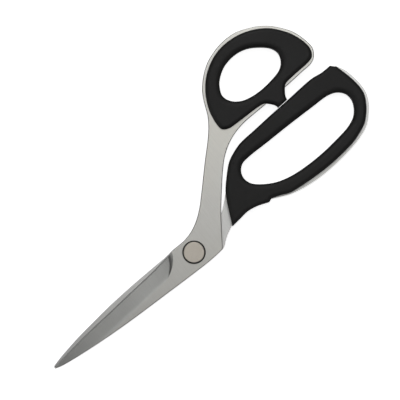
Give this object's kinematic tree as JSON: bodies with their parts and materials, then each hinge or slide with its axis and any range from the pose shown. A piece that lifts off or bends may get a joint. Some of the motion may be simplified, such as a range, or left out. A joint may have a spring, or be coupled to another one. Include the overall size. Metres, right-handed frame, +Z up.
{
  "type": "fabric shears",
  "caption": "Bent-handle tailor's shears with flat steel halves on a screw pivot and moulded thumb and finger grips; shown closed, the finger half opens on the pivot.",
  "frame": {"origin": "on the pivot axis, at the flat underside of the pivot nut, which is the plane that the closed shears rest on", "axes": "+Z up out of the face with the screw head; +X from the pivot along the blades' length towards the bows, so the points are at -X; +Y towards the thumb bow"},
  "size_m": [0.2034, 0.0838, 0.011],
  "materials": {
    "satin_steel": "satin ground stainless steel",
    "elastomer": "soft matt black moulding",
    "screw_steel": "fine turned, slightly warm",
    "nylon": "matt black",
    "spring_steel": "plain spring steel"
  },
  "bodies": {
    "thumb_half": {"thumb_blade": "satin_steel", "thumb_grip": "elastomer", "pivot_screw": "screw_steel", "head_washer": "nylon", "spring_washer": "spring_steel", "pivot_nut": "screw_steel"},
    "finger_half": {"finger_blade": "satin_steel", "finger_grip": "elastomer"}
  },
  "joints": [
    {"name": "pivot", "type": "hinge", "parent": "thumb_half", "child": "finger_half", "pos_m": [0, 0, 0.0055], "axis": [0, 0, -1], "range_deg": [0, 125]}
  ]
}
